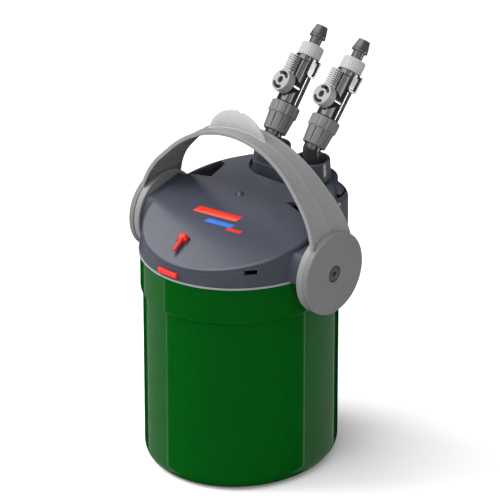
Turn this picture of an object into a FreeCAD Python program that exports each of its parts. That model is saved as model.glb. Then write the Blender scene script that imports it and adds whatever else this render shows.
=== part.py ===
import FreeCAD, Part
import math
import os
import re

import Sketcher

# Canister filter: oval canister with filter baskets, a pump head with a slanted cover,
# a swinging carrying handle and two shut-off taps that lean to the rear.
# Millimetres. Origin at the centre of the canister's underside, +Z up, front towards -Y.

Vector = FreeCAD.Vector
Turn = FreeCAD.Rotation
Place = FreeCAD.Placement
AXIS_X = Vector(1, 0, 0)
AXIS_Y = Vector(0, 1, 0)
AXIS_Z = Vector(0, 0, 1)

DIMENSIONS = {
    # general
    "gap": 0.3, "lap": 0.5, "wall": 2.6, "reachAll": 300,
    # canister: half widths of the oval plan, and heights
    "canHalfX": 82.2, "canHalfY": 88.7, "canRound": 12, "floorThick": 3, "collarStep": 2.2,
    "seamLevel": 162, "rimLevel": 196,
    # filter baskets and media
    "basketInset": 2.8, "basketWall": 1.8, "lowerBasketBase": 8, "lowerBasketTop": 78,
    "upperBasketTop": 150, "basketStep": 2, "padThick": 14, "slotWide": 4, "slotPitch": 12,
    "screenThick": 4, "riserRadius": 8, "riserBore": 6.4, "riserBase": 14, "riserTop": 176,
    # pump head drum and slanted cover
    "skirtHalfX": 85, "skirtHalfY": 91.5, "headHalfX": 78.4, "headHalfY": 84, "loftTop": 250,
    "lipHigh": 1.6, "lipProud": 0.7, "skirtWall": 2.4, "coverMiddle": 230.6, "coverSlope": 12.2,
    "coverThick": 4, "coverEdgeRound": 2.2,
    # rear hump and hose turrets
    "humpX": 36, "humpY": 60, "humpRadius": 26, "humpTop": 243, "humpRound": 11,
    "portX": 22.5, "portY": 66.6, "blockRadius": 17.5, "moat": 3, "blockTop": 250,
    "turretRadius": 16, "turretFlare": 1, "turretTop": 262, "cupRadius": 13.4, "cupDepth": 6,
    "ductRadius": 8.2, "deckThick": 3,
    # head base, gasket and pump
    "spigotGap": 0.6, "spigotLow": 180, "spigotWall": 4, "baseTop": 199.5, "baseThick": 3,
    "gasketLow": 185, "gasketHigh": 190, "gasketDeep": 2.2,
    "pumpY": 14, "chamberRadius": 21, "chamberWall": 2.4, "chamberLow": 184, "wellRadius": 13.2,
    "wellWall": 1.4, "wellTop": 219, "magnetRadius": 11.3, "impellerRadius": 17, "shaftRadius": 1.5,
    "statorLong": 56, "statorWide": 52, "statorTop": 219.5, "columnX": 50, "columnY": 54,
    # handle
    "pivotY": 4.2, "pivotLevel": 200, "bossRadius": 34, "bossFace": 90.3, "stubRadius": 5.5,
    "stubEnd": 98.2, "runGap": 0.05, "discInner": 90.6, "discOuter": 102.7, "discRadius": 36.9,
    "capInner": 97, "bowThick": 3.8, "bowWidth": 60, "bowHalf": 101.2, "armTrim": 31,
    "crownRadius": 100, "bowTop": 102.7, "shoulderRadius": 70, "armTop": 13.5,
    "crownHalfWidth": 13, "armHalfWidth": 24.3, "finRadius": 34.7, "finX": -6.9, "finLevel": 84.3,
    "finThick": 2.2,
    "screwHeadRadius": 7.1, "screwRadius": 2.4,
    # front catch, slot, lever and button
    "catchWide": 20.8, "catchHigh": 4.4, "catchLevel": 202, "catchProud": 1.4,
    "slotLong": 11, "slotHigh": 4.4, "slotAngle": -40.7, "slotLevel": 209,
    "leverX": -13, "leverY": -59, "leverRadius": 4.6, "leverLong": 20, "leverAngle": -71,
    "buttonX": -15.5, "buttonY": 15.9, "buttonRadius": 3.4,
    # taps, along their own axis from the elbow
    "elbowLevel": 271.3, "tapLean": 40, "tapSplay": 1.2, "tapTurn": 8, "pipeRadius": 7.8,
    "pipeBore": 5.4, "pipeFlange": 8.9, "nutLow": 3.1, "nutStep": 18.2, "nutTop": 29.1,
    "nutLowRadius": 10.7, "nutMidRadius": 11.9, "nutRadius": 13.1, "nutCavity": 9.3,
    "spigotRadius": 8.9, "bodyRadius": 10.2, "bodyTop": 74.3, "knobLevel": 44.9, "knobRadius": 9.95,
    "knobBack": 11.2, "knobFace": 19.5, "bossAround": 9.9, "ballRadius": 8, "stemRadius": 2.8,
    "arcDeep": 5, "leverTop": 71, "leverHalf": 4.75, "leverSpine": 1.5, "leverBack": 11.8, "leverFront": 17.8,
    "clipLevel": 65.5, "clipLong": 16, "clipWide": 11, "clipReach": 13.2,
    "topNutRadius": 10.3, "topNutTop": 86.5, "barbNeck": 5.3, "barbBore": 3.6, "barbWide": 7.3,
    "barbLow": 93.6, "barbTip": 104.8, "barbTipRadius": 5.2,
    # cable gland
    "glandLevel": 212, "glandRadius": 6.2, "glandBore": 3.2,
}

doc = FreeCAD.newDocument("canister_filter")
# corners, in plan, of the pockets that open through the slanted cover
COVER_POCKETS = {
    "left": ((-76, 17.6), (-56, 23.5), (-58, 45), (-64.5, 46)),
    "right": ((27, 26.5), (56, 19), (76, 17.6), (64.5, 46), (50, 37)),
}

sheet = doc.addObject("Spreadsheet::Sheet", "Dims")
for row, (alias, number) in enumerate(DIMENSIONS.items(), start=1):
    sheet.set(f"A{row}", alias)
    sheet.set(f"B{row}", str(number))
    sheet.setAlias(f"B{row}", alias)
doc.recompute()
parts = []


# ---- helpers ---------------------------------------------------------------------------

def formula(text):
    """The same formula with every sheet alias written as Dims.alias."""
    return re.sub(r"[A-Za-z]\w*", lambda word: "Dims." + word[0] if word[0] in DIMENSIONS else word[0],
                  str(text))


def value(text):
    """The number that a formula of sheet aliases gives now."""
    return float(sheet.evalExpression(str(text)))


def bind(thing, **formulas):
    """Drive properties of a document object from the sheet."""
    for prop, text in formulas.items():
        thing.setExpression(prop.replace("_", "."), formula(text))
    return thing


def primitive(kind, name, at=(0, 0, 0), turn=None, **sizes):
    """A Part primitive at a place given by three formulas."""
    thing = doc.addObject("Part::" + kind, name)
    thing.Placement = Place(Vector(*[value(text) for text in at]), turn or Turn())
    bind(thing, **sizes)
    for axis, text in zip("xyz", at):
        if not turn:
            bind(thing, **{"Placement_Base_" + axis: text})
    return thing


def cylinder(name, radius, low, high, x=0, y=0):
    return primitive("Cylinder", name, (x, y, low), Radius=radius, Height=f"({high})-({low})")


def cylinder_along(name, radius, start, length, direction):
    turn = Turn(AXIS_Z, direction)
    return primitive("Cylinder", name, start, turn, Radius=radius, Height=length)


def box(name, x0, x1, y0, y1, z0, z1):
    return primitive("Box", name, (x0, y0, z0), Length=f"({x1})-({x0})", Width=f"({y1})-({y0})",
                     Height=f"({z1})-({z0})")


def ellipse(name, half_x, half_y, level):
    """An oval curve, deeper front to back than it is wide."""
    curve = doc.addObject("Part::Ellipse", name)
    curve.Placement = Place(Vector(0, 0, value(level)), Turn(AXIS_Z, 90))
    bind(curve, MajorRadius=half_y, MinorRadius=half_x, Placement_Base_z=level)
    return curve


def oval(name, half_x, half_y, low, high):
    """An upright prism with the oval plan."""
    prism = doc.addObject("Part::Extrusion", name)
    prism.Base = ellipse(name + "_curve", half_x, half_y, low)
    prism.DirMode = "Custom"
    prism.Dir = AXIS_Z
    prism.Solid = True
    return bind(prism, LengthFwd=f"({high})-({low})")


def fuse(name, *shapes, refine=False):
    joined = doc.addObject("Part::MultiFuse", name)
    joined.Shapes = list(shapes)
    joined.Refine = refine
    return joined


def cut(name, base, *tools):
    result = doc.addObject("Part::Cut", name)
    result.Refine = False
    result.Base = base
    result.Tool = tools[0] if len(tools) == 1 else fuse(name + "_tools", *tools)
    return result


def common(name, first, second):
    result = doc.addObject("Part::Common", name)
    result.Refine = False
    result.Base = first
    result.Tool = second
    return result


def rounded(name, base, radius, wanted):
    """Fillet the edges whose bounding box passes the test."""
    doc.recompute()
    result = doc.addObject("Part::Fillet", name)
    result.Base = base
    size = value(radius)
    edges = enumerate(base.Shape.Edges, start=1)
    result.Edges = [(number, size, size) for number, edge in edges if wanted(edge.BoundBox)]
    return result


def part(label, thing, place=None):
    """Register a finished piece under its own label, and put it in its place."""
    thing.Label = label
    if place:
        thing.Placement = place
    parts.append(thing)
    return thing


def stadium(name, x, y, radius, low, high):
    """Two upright cylinders side by side with the space between them filled."""
    sides = [cylinder(f"{name}_{side}", radius, low, high, f"{sign}({x})", y)
             for side, sign in (("left", "-"), ("right", ""))]
    middle = box(name + "_middle", f"-({x})", x, f"({y})-({radius})", f"({y})+({radius})", low, high)
    return fuse(name, middle, *sides, refine=True)


def origin_plane(body, role):
    return next(item for item in body.Origin.OriginFeatures if item.Role == role)


def outline(body, name, plane, corners):
    """A closed polygon sketch with each corner driven by two formulas."""
    sketch = body.newObject("Sketcher::SketchObject", name)
    sketch.AttachmentSupport = [(origin_plane(body, plane), "")]
    sketch.MapMode = "FlatFace"
    points = [Vector(value(across), value(up), 0) for across, up in corners]
    for index, point in enumerate(points):
        sketch.addGeometry(Part.LineSegment(point, points[(index + 1) % len(points)]))
    for index in range(len(points)):
        following = (index + 1) % len(points)
        sketch.addConstraint(Sketcher.Constraint("Coincident", index, 2, following, 1))
    for index, (across, up) in enumerate(corners):
        for kind, text in (("DistanceX", across), ("DistanceY", up)):
            number = sketch.addConstraint(Sketcher.Constraint(kind, -1, 1, index, 1, value(text)))
            sketch.setExpression(f"Constraints[{number}]", formula(text))
    return sketch


def turned(name, corners):
    """A body of revolution about Z from (radius, height) corners."""
    body = doc.addObject("PartDesign::Body", name)
    sketch = outline(body, name + "_profile", "XZ_Plane", corners)
    turning = body.newObject("PartDesign::Revolution", name + "_turned")
    turning.Profile = sketch
    turning.ReferenceAxis = (sketch, ["V_Axis"])
    turning.Angle = 360
    body.Tip = turning
    return body


def flutes(body, name, count, kind, at, **sizes):
    """Cut a ring of equal grooves round a turned body."""
    tool = body.newObject("PartDesign::Subtractive" + kind, name)
    tool.Placement = Place(Vector(*[value(text) for text in at]), Turn())
    bind(tool, **sizes)
    pattern = body.newObject("PartDesign::PolarPattern", name + "_ring")
    pattern.Originals = [tool]
    pattern.Axis = (origin_plane(body, "Z_Axis"), [""])
    pattern.Angle = 360
    pattern.Occurrences = count
    body.Tip = pattern


def tube(name, outer, inner, low, high, x=0, y=0):
    return cut(name, cylinder(name + "_outside", outer, low, high, x, y),
               cylinder(name + "_bore", inner, f"({low})-1", f"({high})+1", x, y))


def oval_ring(name, outer_x, outer_y, inner_x, inner_y, low, high):
    return cut(name, oval(name + "_outside", outer_x, outer_y, low, high),
               oval(name + "_inside", inner_x, inner_y, f"({low})-1", f"({high})+1"))


def slab(name, under, thick):
    """A wide slab on the cover's slope, its underside this far below the cover's face."""
    plate = doc.addObject("Part::Box", name)
    half = value("reachAll") / 2
    tilt = Place(Vector(0, 0, value(f"coverMiddle-({under})")), Turn(AXIS_X, value("coverSlope")))
    plate.Placement = tilt.multiply(Place(Vector(-half, -half, 0), Turn()))
    return bind(plate, Length="reachAll", Width="reachAll", Height=thick)


def on_cover(x, y, sink=0, angle=0):
    """A place on the slanted cover's face, with its own Z along the face's normal."""
    slope = math.radians(value("coverSlope"))
    level = value("coverMiddle") + value(y) * math.tan(slope) - sink
    tilt = Turn(AXIS_X, value("coverSlope")).multiply(Turn(AXIS_Z, angle))
    return Place(Vector(value(x), value(y), level), tilt)


# ---- canister --------------------------------------------------------------------------

def at_bottom(bounds):
    return bounds.ZMax < value("floorThick") + 1


def make_canister():
    shell = rounded("canister_outside", oval("canister_blank", "canHalfX", "canHalfY", 0, "rimLevel"),
                    "canRound", at_bottom)
    collar = oval("canister_collar", "canHalfX+collarStep", "canHalfY+collarStep", "seamLevel",
                  "rimLevel")
    softened = rounded("canister_collar_soft", collar, "collarStep*0.9",
                       lambda bounds: bounds.ZMax < value("seamLevel") + 1)
    inside = oval("canister_mouth", "canHalfX-wall", "canHalfY-wall", "floorThick", "rimLevel+5")
    hollow = rounded("canister_inside", inside, "canRound-wall", at_bottom)
    part("canister", cut("canister", fuse("canister_solid", shell, softened), hollow))


def riser_hole(name, low, high):
    return cylinder(name, "riserRadius+2", low, high, "-portX", "portY-2")


def make_basket(label, low, high):
    """An open oval basket with a slotted floor and a passage for the riser."""
    half_x = "canHalfX-wall-basketInset"
    half_y = "canHalfY-wall-basketInset"
    outside = oval(label + "_outside", half_x, half_y, low, high)
    inside = oval(label + "_inside", f"{half_x}-basketWall", f"{half_y}-basketWall",
                  f"{low}+basketWall", f"{high}+1")
    slots = []
    for index in range(-4, 5):
        middle = f"{index}*slotPitch"
        slots.append(box(f"{label}_slot{index + 4}", f"{middle}-slotWide/2", f"{middle}+slotWide/2",
                         -55, 50, f"{low}-1", f"{low}+basketWall+1"))
    body = cut(label + "_open", outside, inside)
    part(label, cut(label, body, riser_hole(label + "_riser", f"{low}-1", f"{high}+1"), *slots))


def make_filling(label, low, high):
    """A closed bed of media or foam that fills a basket between two levels."""
    half_x = "canHalfX-wall-basketInset-basketWall-gap"
    half_y = "canHalfY-wall-basketInset-basketWall-gap"
    bed = oval(label + "_bed", half_x, half_y, low, high)
    hole = cylinder(label + "_riser", "riserRadius+3", f"{low}-1", f"{high}+1", "-portX", "portY-2")
    part(label, cut(label, bed, hole))


def make_screen():
    """The slotted lattice that lies on the upper basket, under the pump."""
    half_x = "canHalfX-wall-basketInset"
    half_y = "canHalfY-wall-basketInset"
    low = "upperBasketTop+gap"
    high = "upperBasketTop+gap+screenThick"
    plate = oval("screen_blank", half_x, half_y, low, high)
    slots = []
    for index in range(-4, 5):
        middle = f"{index}*slotPitch"
        slots.append(box(f"screen_slot{index + 4}", f"{middle}-slotWide/2", f"{middle}+slotWide/2",
                         -60, 50, f"{low}-1", f"{high}+1"))
    part("top_screen", cut("top_screen", plate, riser_hole("screen_riser", f"{low}-1", f"{high}+1"),
                           *slots))


def make_riser():
    part("riser_tube", tube("riser_tube", "riserRadius", "riserBore", "riserBase", "riserTop",
                            "-portX", "portY-2"))


# ---- pump head -------------------------------------------------------------------------

def drum(name, low, inset):
    """The tapering oval drum that the housing and its cover are cut from, or the room in it."""
    loft = doc.addObject("Part::Loft", name)
    loft.Sections = [ellipse(name + "_low", f"skirtHalfX-({inset})", f"skirtHalfY-({inset})", low),
                     ellipse(name + "_high", f"headHalfX-({inset})", f"headHalfY-({inset})", "loftTop")]
    loft.Solid = True
    loft.Ruled = True
    return loft


def make_housing(blank):
    low = "rimLevel+lipHigh+gap"
    hump = rounded("hump_soft", stadium("hump_blank", "humpX", "humpY", "humpRadius", low, "humpTop"),
                   "humpRound", lambda bounds: bounds.ZMin > value("humpTop") - 1)
    above = slab("above_cover", "coverThick", "100")
    room_in_hump = common("hump_room", stadium("hump_void", "humpX", "humpY",
                                               "humpRadius-skirtWall", "150", "humpTop-deckThick"),
                          slab("below_deck", "coverThick+deckThick+150", "150"))
    room_in_drum = drum("drum_room", "rimLevel-1", "skirtWall")
    sloped = cut("housing_sloped", fuse("housing_outside", blank, hump), above)
    shell = cut("housing_shell", cut("housing_behind", sloped, room_in_hump), room_in_drum)
    boss_trim = box("boss_trim", "-reachAll/2", "reachAll/2", "-reachAll/2", "reachAll/2", 100, low)
    bosses = []
    for side, sign, direction in (("left", "-", -1), ("right", "", 1)):
        boss = cylinder_along(f"boss_{side}", "bossRadius", (f"{sign}68", "pivotY", "pivotLevel"),
                              "bossFace-68", AXIS_X * direction)
        outboard = cut(f"boss_{side}_outboard", cut(f"boss_{side}_flat", boss, boss_trim),
                       room_in_drum)
        bosses.append(cut(f"boss_{side}_sloped", outboard, above))
    deck = common("deck", stadium("deck_blank", "portX", "portY", "blockRadius+moat+2.5", "200",
                                  "loftTop+10"), slab("deck_slab", "coverThick+deckThick",
                                                      "deckThick-2*runGap"))
    block = cut("block", stadium("block_blank", "portX", "portY-0.01", "blockRadius", "coverMiddle+8",
                                 "blockTop"), slab("below_block", "coverThick+deckThick+100", "100"))
    turrets = []
    ducts = []
    for side, sign in (("left", "-"), ("right", "")):
        turrets.append(primitive("Cone", f"turret_{side}", (f"{sign}portX", "portY", "blockTop-2"),
                                 Radius1="turretRadius+turretFlare", Radius2="turretRadius",
                                 Height="turretTop-blockTop+2"))
        ducts.append(cylinder(f"duct_hole_{side}", "ductRadius", "baseTop", "turretTop+1",
                              f"{sign}portX", "portY"))
        ducts.append(cylinder(f"cup_{side}", "cupRadius", "turretTop-cupDepth", "turretTop+1",
                              f"{sign}portX", "portY"))
    stubs = [cylinder_along(f"stub_{side}", "stubRadius", (f"{sign}(bossFace-2)", "pivotY",
                                                           "pivotLevel"),
                            "stubEnd-bossFace+2", AXIS_X * direction)
             for side, sign, direction in (("left", "-", -1), ("right", "", 1))]
    columns = []
    for index, (sign_x, sign_y) in enumerate(((1, 1), (1, -1), (-1, -1), (-1, 1))):
        x, y = f"{sign_x}*columnX", f"{sign_y}*columnY"
        column = cylinder(f"column{index}", "4.2", "baseTop", "baseTop+6", x, y)
        rib = doc.addObject("Part::Box", f"rib{index}")
        bearing = math.degrees(math.atan2(sign_y * value("columnY"), sign_x * value("columnX")))
        rib.Placement = Place(Vector(value(x), value(y), value("baseTop")), Turn(AXIS_Z, bearing))
        rib.Placement = rib.Placement.multiply(Place(Vector(0, -1.2, 0), Turn()))
        bind(rib, Length="14", Width="2.4", Height="6")
        columns += [column, rib]
    screw_holes = [cylinder(f"column_hole{index}", "1.5", "baseTop-1", "baseTop+7",
                            f"{sign_x}*columnX", f"{sign_y}*columnY")
                   for index, (sign_x, sign_y) in enumerate(((1, 1), (1, -1), (-1, -1), (-1, 1)))]
    pivot_holes = [cylinder_along(f"pivot_hole_{side}", "screwRadius",
                                  (f"{sign}(stubEnd+1)", "pivotY", "pivotLevel"), "14",
                                  AXIS_X * -direction)
                   for side, sign, direction in (("left", "-", -1), ("right", "", 1))]
    catch_window = box("catch_window", "-catchWide/2-gap-2", "catchWide/2+gap-2", "-skirtHalfY-5",
                       "-skirtHalfY+8", "catchLevel-catchHigh/2-gap", "catchLevel+catchHigh/2+gap")
    slot = doc.addObject("Part::Box", "skirt_slot")
    angle = math.radians(value("slotAngle"))
    slot.Placement = Place(Vector(value("skirtHalfX") * math.cos(angle),
                                  value("skirtHalfY") * math.sin(angle), value("slotLevel")),
                           Turn(AXIS_Z, math.degrees(angle)))
    slot.Placement = slot.Placement.multiply(Place(Vector(-6, -value("slotLong") / 2, 0), Turn()))
    bind(slot, Length="12", Width="slotLong", Height="slotHigh")
    gland_hole = cylinder_along("gland_hole", "glandRadius-1.6", (0, "skirtHalfY-12", "glandLevel"),
                                "20", AXIS_Y)
    whole = fuse("housing_whole", shell, *bosses, deck, block, *turrets, *stubs, *columns)
    part("head_housing", cut("head_housing", whole, *ducts, *screw_holes, *pivot_holes,
                             catch_window, slot, gland_hole))


def make_cover(blank):
    """The slanted cover plate with its rounded bead, cut out round the turret block."""
    plate = common("cover_blank", blank, slab("cover_slab", "coverThick-runGap",
                                              "coverThick-runGap"))
    middle = value("coverMiddle")
    bead = rounded("cover_bead", plate, "coverEdgeRound",
                   lambda bounds: bounds.ZLength > 20 and bounds.ZMax > middle + value("headHalfY")
                   * math.tan(math.radians(value("coverSlope"))) - 0.8 and bounds.XLength > 60)
    opening = stadium("cover_opening", "portX", "portY", "blockRadius+moat", "200", "loftTop+20")
    notches = []
    for side, corners in COVER_POCKETS.items():
        edge = doc.addObject("Part::Polygon", f"cover_pocket_{side}_edge")
        edge.Nodes = [Vector(x, y, value("skirtWall+rimLevel")) for x, y in corners]
        edge.Close = True
        pocket = doc.addObject("Part::Extrusion", f"cover_pocket_{side}")
        pocket.Base = edge
        pocket.Dir = AXIS_Z
        pocket.Solid = True
        bind(pocket, LengthFwd="loftTop-rimLevel")
        notches.append(pocket)
    pit = cylinder("lever_pit", "leverRadius+0.9", "200", "loftTop", "leverX", "leverY")
    seat = turned("button_seat", [(0, -6), ("buttonRadius+runGap", -6), ("buttonRadius+runGap", 6),
                                  (0, 6)])
    seat.Placement = on_cover("buttonX", "buttonY")
    part("top_cover", cut("top_cover", bead, opening, pit, seat, *notches))


def make_lip():
    low = "rimLevel+gap"
    part("skirt_lip", oval_ring("skirt_lip", "skirtHalfX+lipProud", "skirtHalfY+lipProud",
                                "canHalfX-wall+0.6", "canHalfY-wall+0.6", low, f"{low}+lipHigh"))


def make_head_base():
    """The floor of the head: plug into the canister, pump chamber and rotor well."""
    half_x = "canHalfX-wall-spigotGap"
    half_y = "canHalfY-wall-spigotGap"
    floor_low = "baseTop-baseThick"
    floor_lap = f"{floor_low}+lap"
    plug = oval_ring("plug", half_x, half_y, f"{half_x}-spigotWall", f"{half_y}-spigotWall",
                     "spigotLow", floor_lap)
    floor = oval("base_floor", half_x, half_y, floor_low, "baseTop")
    groove = oval_ring("gasket_groove", "canHalfX", "canHalfY", f"{half_x}-gasketDeep",
                       f"{half_y}-gasketDeep", "gasketLow-0.1", "gasketHigh+0.1")
    chamber = tube("chamber", "chamberRadius", "chamberRadius-chamberWall", "chamberLow", floor_lap,
                   0, "pumpY")
    well = tube("well", "wellRadius", "wellRadius-wellWall", floor_low, "wellTop-wellWall",
                0, "pumpY")
    well_top = cylinder("well_top", "wellRadius", "wellTop-wellWall", "wellTop", 0, "pumpY")
    pipes = [tube(f"base_pipe_{side}", "7.6", "5.4", "baseTop-lap", "turretTop-22",
                  f"{sign}portX", "portY") for side, sign in (("left", "-"), ("right", ""))]
    inlet_pipe = tube("base_inlet", "7.6", "5.4", "spigotLow-2", floor_lap, "-portX", "portY-2")
    channel = cut("channel", box("channel_outside", 0, "portX+6", "pumpY+14", "portY+6", 186,
                                 floor_lap),
                  box("channel_inside", 2, "portX+4", "pumpY+10", "portY+4", 188, floor_low),
                  cylinder("channel_end", "chamberRadius-chamberWall/2", 180, "baseTop", 0, "pumpY"))
    holes = [cylinder(f"base_hole_{side}", "5.4", "baseTop-8", "baseTop+1", f"{sign}portX", "portY")
             for side, sign in (("left", "-"), ("right", ""))]
    holes.append(cylinder("base_inlet_hole", "5.4", "baseTop-8", "baseTop", "-portX", "portY-2"))
    holes.append(cylinder("well_hole", "wellRadius-wellWall", "baseTop-8", "baseTop+1", 0, "pumpY"))
    holes.append(box("chamber_port", 2, 12, "pumpY+10", "pumpY+24", 188, floor_low))
    for index, (sign_x, sign_y) in enumerate(((1, 1), (1, -1), (-1, -1), (-1, 1))):
        holes.append(cylinder(f"base_screw_hole{index}", "1.9", "baseTop-8", "baseTop+1",
                              f"{sign_x}*columnX", f"{sign_y}*columnY"))
    body = fuse("base_body", cut("plug_grooved", plug, groove), floor, chamber, well, well_top,
                inlet_pipe, channel, *pipes)
    part("head_base", cut("head_base", body, *holes))


def make_gasket():
    half_x = "canHalfX-wall-gap"
    half_y = "canHalfY-wall-gap"
    part("canister_gasket", oval_ring("canister_gasket", half_x, half_y, f"{half_x}-gasketDeep+0.1",
                                      f"{half_y}-gasketDeep+0.1", "gasketLow", "gasketHigh"))


def make_base_screws():
    screws = []
    for index, (sign_x, sign_y) in enumerate(((1, 1), (1, -1), (-1, -1), (-1, 1))):
        x, y = f"{sign_x}*columnX", f"{sign_y}*columnY"
        head = cylinder(f"base_screw_head{index}", "3.2", "baseTop-baseThick-2", "baseTop-baseThick",
                        x, y)
        shank = cylinder(f"base_screw_shank{index}", "1.4", "baseTop-baseThick", "baseTop+5.5", x, y)
        screws.append(fuse(f"base_screw{index}", head, shank))
    group = doc.addObject("Part::Compound", "base_screws")
    group.Links = screws
    part("base_screws", group)


def make_pump():
    clear = "wellRadius+gap"
    block = box("stator_block_solid", "-statorLong/2", "statorLong/2", "pumpY-statorWide/2",
                "pumpY+statorWide/2", "baseTop+gap", "statorTop")
    soft = rounded("stator_soft", block, "4", lambda bounds: bounds.ZLength > 10)
    part("stator_block", cut("stator_block", soft, cylinder("stator_bore", clear, "baseTop-1",
                                                            "statorTop+1", 0, "pumpY")))
    magnet = tube("magnet", "magnetRadius", "shaftRadius+runGap", "chamberLow+4",
                  "wellTop-wellWall-4", 0, "pumpY")
    hub = tube("impeller_hub", 6, "shaftRadius+runGap", "chamberLow+1.2", "chamberLow+4.01", 0, "pumpY")
    blades = []
    for index in range(6):
        blade = doc.addObject("Part::Box", f"blade{index}")
        spot = Place(Vector(0, value("pumpY"), value("chamberLow+1.2")), Turn(AXIS_Z, 60 * index))
        blade.Placement = spot.multiply(Place(Vector(4, -0.8, 0), Turn()))
        bind(blade, Length="impellerRadius-4", Width="1.6", Height="9")
        blades.append(blade)
    part("impeller_rotor", fuse("impeller_rotor", magnet, hub, *blades))
    part("rotor_shaft", cylinder("rotor_shaft", "shaftRadius", "chamberLow-1.6",
                                 "wellTop-wellWall-1", 0, "pumpY"))
    part("upper_shaft_bush", tube("upper_shaft_bush", 5, "shaftRadius", "wellTop-wellWall-3",
                                  "wellTop-wellWall-0.2", 0, "pumpY"))
    part("lower_shaft_bush", tube("lower_shaft_bush", 3.4, "shaftRadius", "chamberLow-2.2",
                                  "chamberLow+0.6", 0, "pumpY"))
    disc = cylinder("chamber_disc", "chamberRadius", "chamberLow-3", "chamberLow-0.1", 0, "pumpY")
    hub_hole = cylinder("chamber_hub_hole", "3.5", "chamberLow-4", "chamberLow+1", 0, "pumpY")
    windows = []
    for index in range(3):
        window = doc.addObject("Part::Cylinder", f"chamber_window{index}")
        angle = math.radians(120 * index + 30)
        window.Placement = Place(Vector(8.5 * math.cos(angle), value("pumpY") + 8.5 * math.sin(angle),
                                        value("chamberLow-4")), Turn())
        bind(window, Radius="3.6", Height="6")
        windows.append(window)
    part("impeller_cover", cut("impeller_cover", disc, hub_hole, *windows))


def make_gland():
    body = turned("cable_gland", [("glandBore", -9), ("glandRadius-1.8", -9), ("glandRadius-1.8", 0.2),
                                  ("glandRadius", 0.2), ("glandRadius-0.6", 3), ("glandRadius-2", 10),
                                  ("glandBore", 10)])
    part("cable_gland", body, Place(Vector(0, value("skirtHalfY-1"), value("glandLevel")),
                                    Turn(AXIS_Z, AXIS_Y)))


def make_front_pieces():
    catch = box("catch_blank", "-catchWide/2-2", "catchWide/2-2", "-skirtHalfY-catchProud",
                "-skirtHalfY+4.5", "catchLevel-catchHigh/2", "catchLevel+catchHigh/2")
    part("catch_button", rounded("catch_button", catch, "0.9",
                                 lambda bounds: bounds.YMax < value("-skirtHalfY") - 1))
    hub = turned("vent_lever_hub", [(0, -2), ("leverRadius", -2), ("leverRadius", 2.4),
                                    ("leverRadius-1.6", 5.2), (0, 5.8)])
    arm = primitive("Cone", "vent_lever_arm", (0, 0, 3), Turn(AXIS_Z, AXIS_X), Radius1=2.5,
                    Radius2=1.3, Height="leverLong")
    part("vent_lever", fuse("vent_lever", hub, arm), on_cover("leverX", "leverY", 0,
                                                               value("leverAngle")))
    button = turned("cover_button", [(0, -2), ("buttonRadius", -2), ("buttonRadius", 0.5),
                                     ("buttonRadius-1.2", 1.4), (0, 1.7)])
    part("cover_button", button, on_cover("buttonX", "buttonY"))


# ---- handle ----------------------------------------------------------------------------

def handle_place():
    return Place(Vector(0, value("pivotY"), value("pivotLevel")), Turn())


def arch_path(body, name):
    """The middle line of the bow: arm, shoulder, slope, crown, slope, shoulder, arm."""
    half = value("bowHalf-bowThick/2")
    crown = value("crownRadius-bowThick/2")
    shoulder = value("shoulderRadius-bowThick/2")
    crown_middle = value("bowTop-crownRadius")
    arm_top = value("armTop")
    offset_x, offset_z = half - shoulder, arm_top - crown_middle
    span = math.hypot(offset_x, offset_z)
    # the slope is the outer tangent of the crown's circle and the shoulder's circle
    angle = math.atan2(offset_z, offset_x) + math.acos((crown - shoulder) / span)
    normal = Vector(math.cos(angle), math.sin(angle), 0)
    crown_end = normal * crown + Vector(0, crown_middle, 0)
    slope_end = normal * shoulder + Vector(half - shoulder, arm_top, 0)
    mirrored = [Vector(-point.x, point.y, 0) for point in (crown_end, slope_end)]
    shoulder_middle = Vector(half - shoulder, arm_top, 0)
    flat = Vector(0, 0, 1)
    sketch = body.newObject("Sketcher::SketchObject", name)
    sketch.AttachmentSupport = [(origin_plane(body, "XZ_Plane"), "")]
    sketch.MapMode = "FlatFace"

    def circle(middle, radius):
        return Part.Circle(middle, flat, radius)

    left_middle = Vector(-shoulder_middle.x, shoulder_middle.y, 0)
    sketch.addGeometry([
        Part.LineSegment(Vector(-half, 0, 0), Vector(-half, arm_top, 0)),
        Part.ArcOfCircle(circle(left_middle, shoulder), math.pi - angle, math.pi),
        Part.LineSegment(mirrored[1], mirrored[0]),
        Part.ArcOfCircle(circle(Vector(0, crown_middle, 0), crown), angle, math.pi - angle),
        Part.LineSegment(crown_end, slope_end),
        Part.ArcOfCircle(circle(shoulder_middle, shoulder), 0, angle),
        Part.LineSegment(Vector(half, arm_top, 0), Vector(half, 0, 0)),
    ])
    joins = ((0, 2, 1, 2), (1, 1, 2, 1), (2, 2, 3, 2), (3, 1, 4, 1), (4, 2, 5, 2), (5, 1, 6, 1))
    for first, end, second, start in joins:
        sketch.addConstraint(Sketcher.Constraint("Tangent", first, end, second, start))
    driven = (("DistanceX", (-1, 1, 6, 2), "bowHalf-bowThick/2"), ("Radius", (3,),
                                                                  "crownRadius-bowThick/2"),
              ("Radius", (1,), "shoulderRadius-bowThick/2"), ("Radius", (5,),
                                                              "shoulderRadius-bowThick/2"),
              ("DistanceY", (-1, 1, 3, 3), "bowTop-crownRadius"), ("DistanceY", (-1, 1, 5, 3), "armTop"),
              ("DistanceY", (-1, 1, 1, 3), "armTop"))
    for kind, where, text in driven:
        number = sketch.addConstraint(Sketcher.Constraint(kind, *where, value(text)))
        sketch.setExpression(f"Constraints[{number}]", formula(text))
    return sketch


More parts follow.
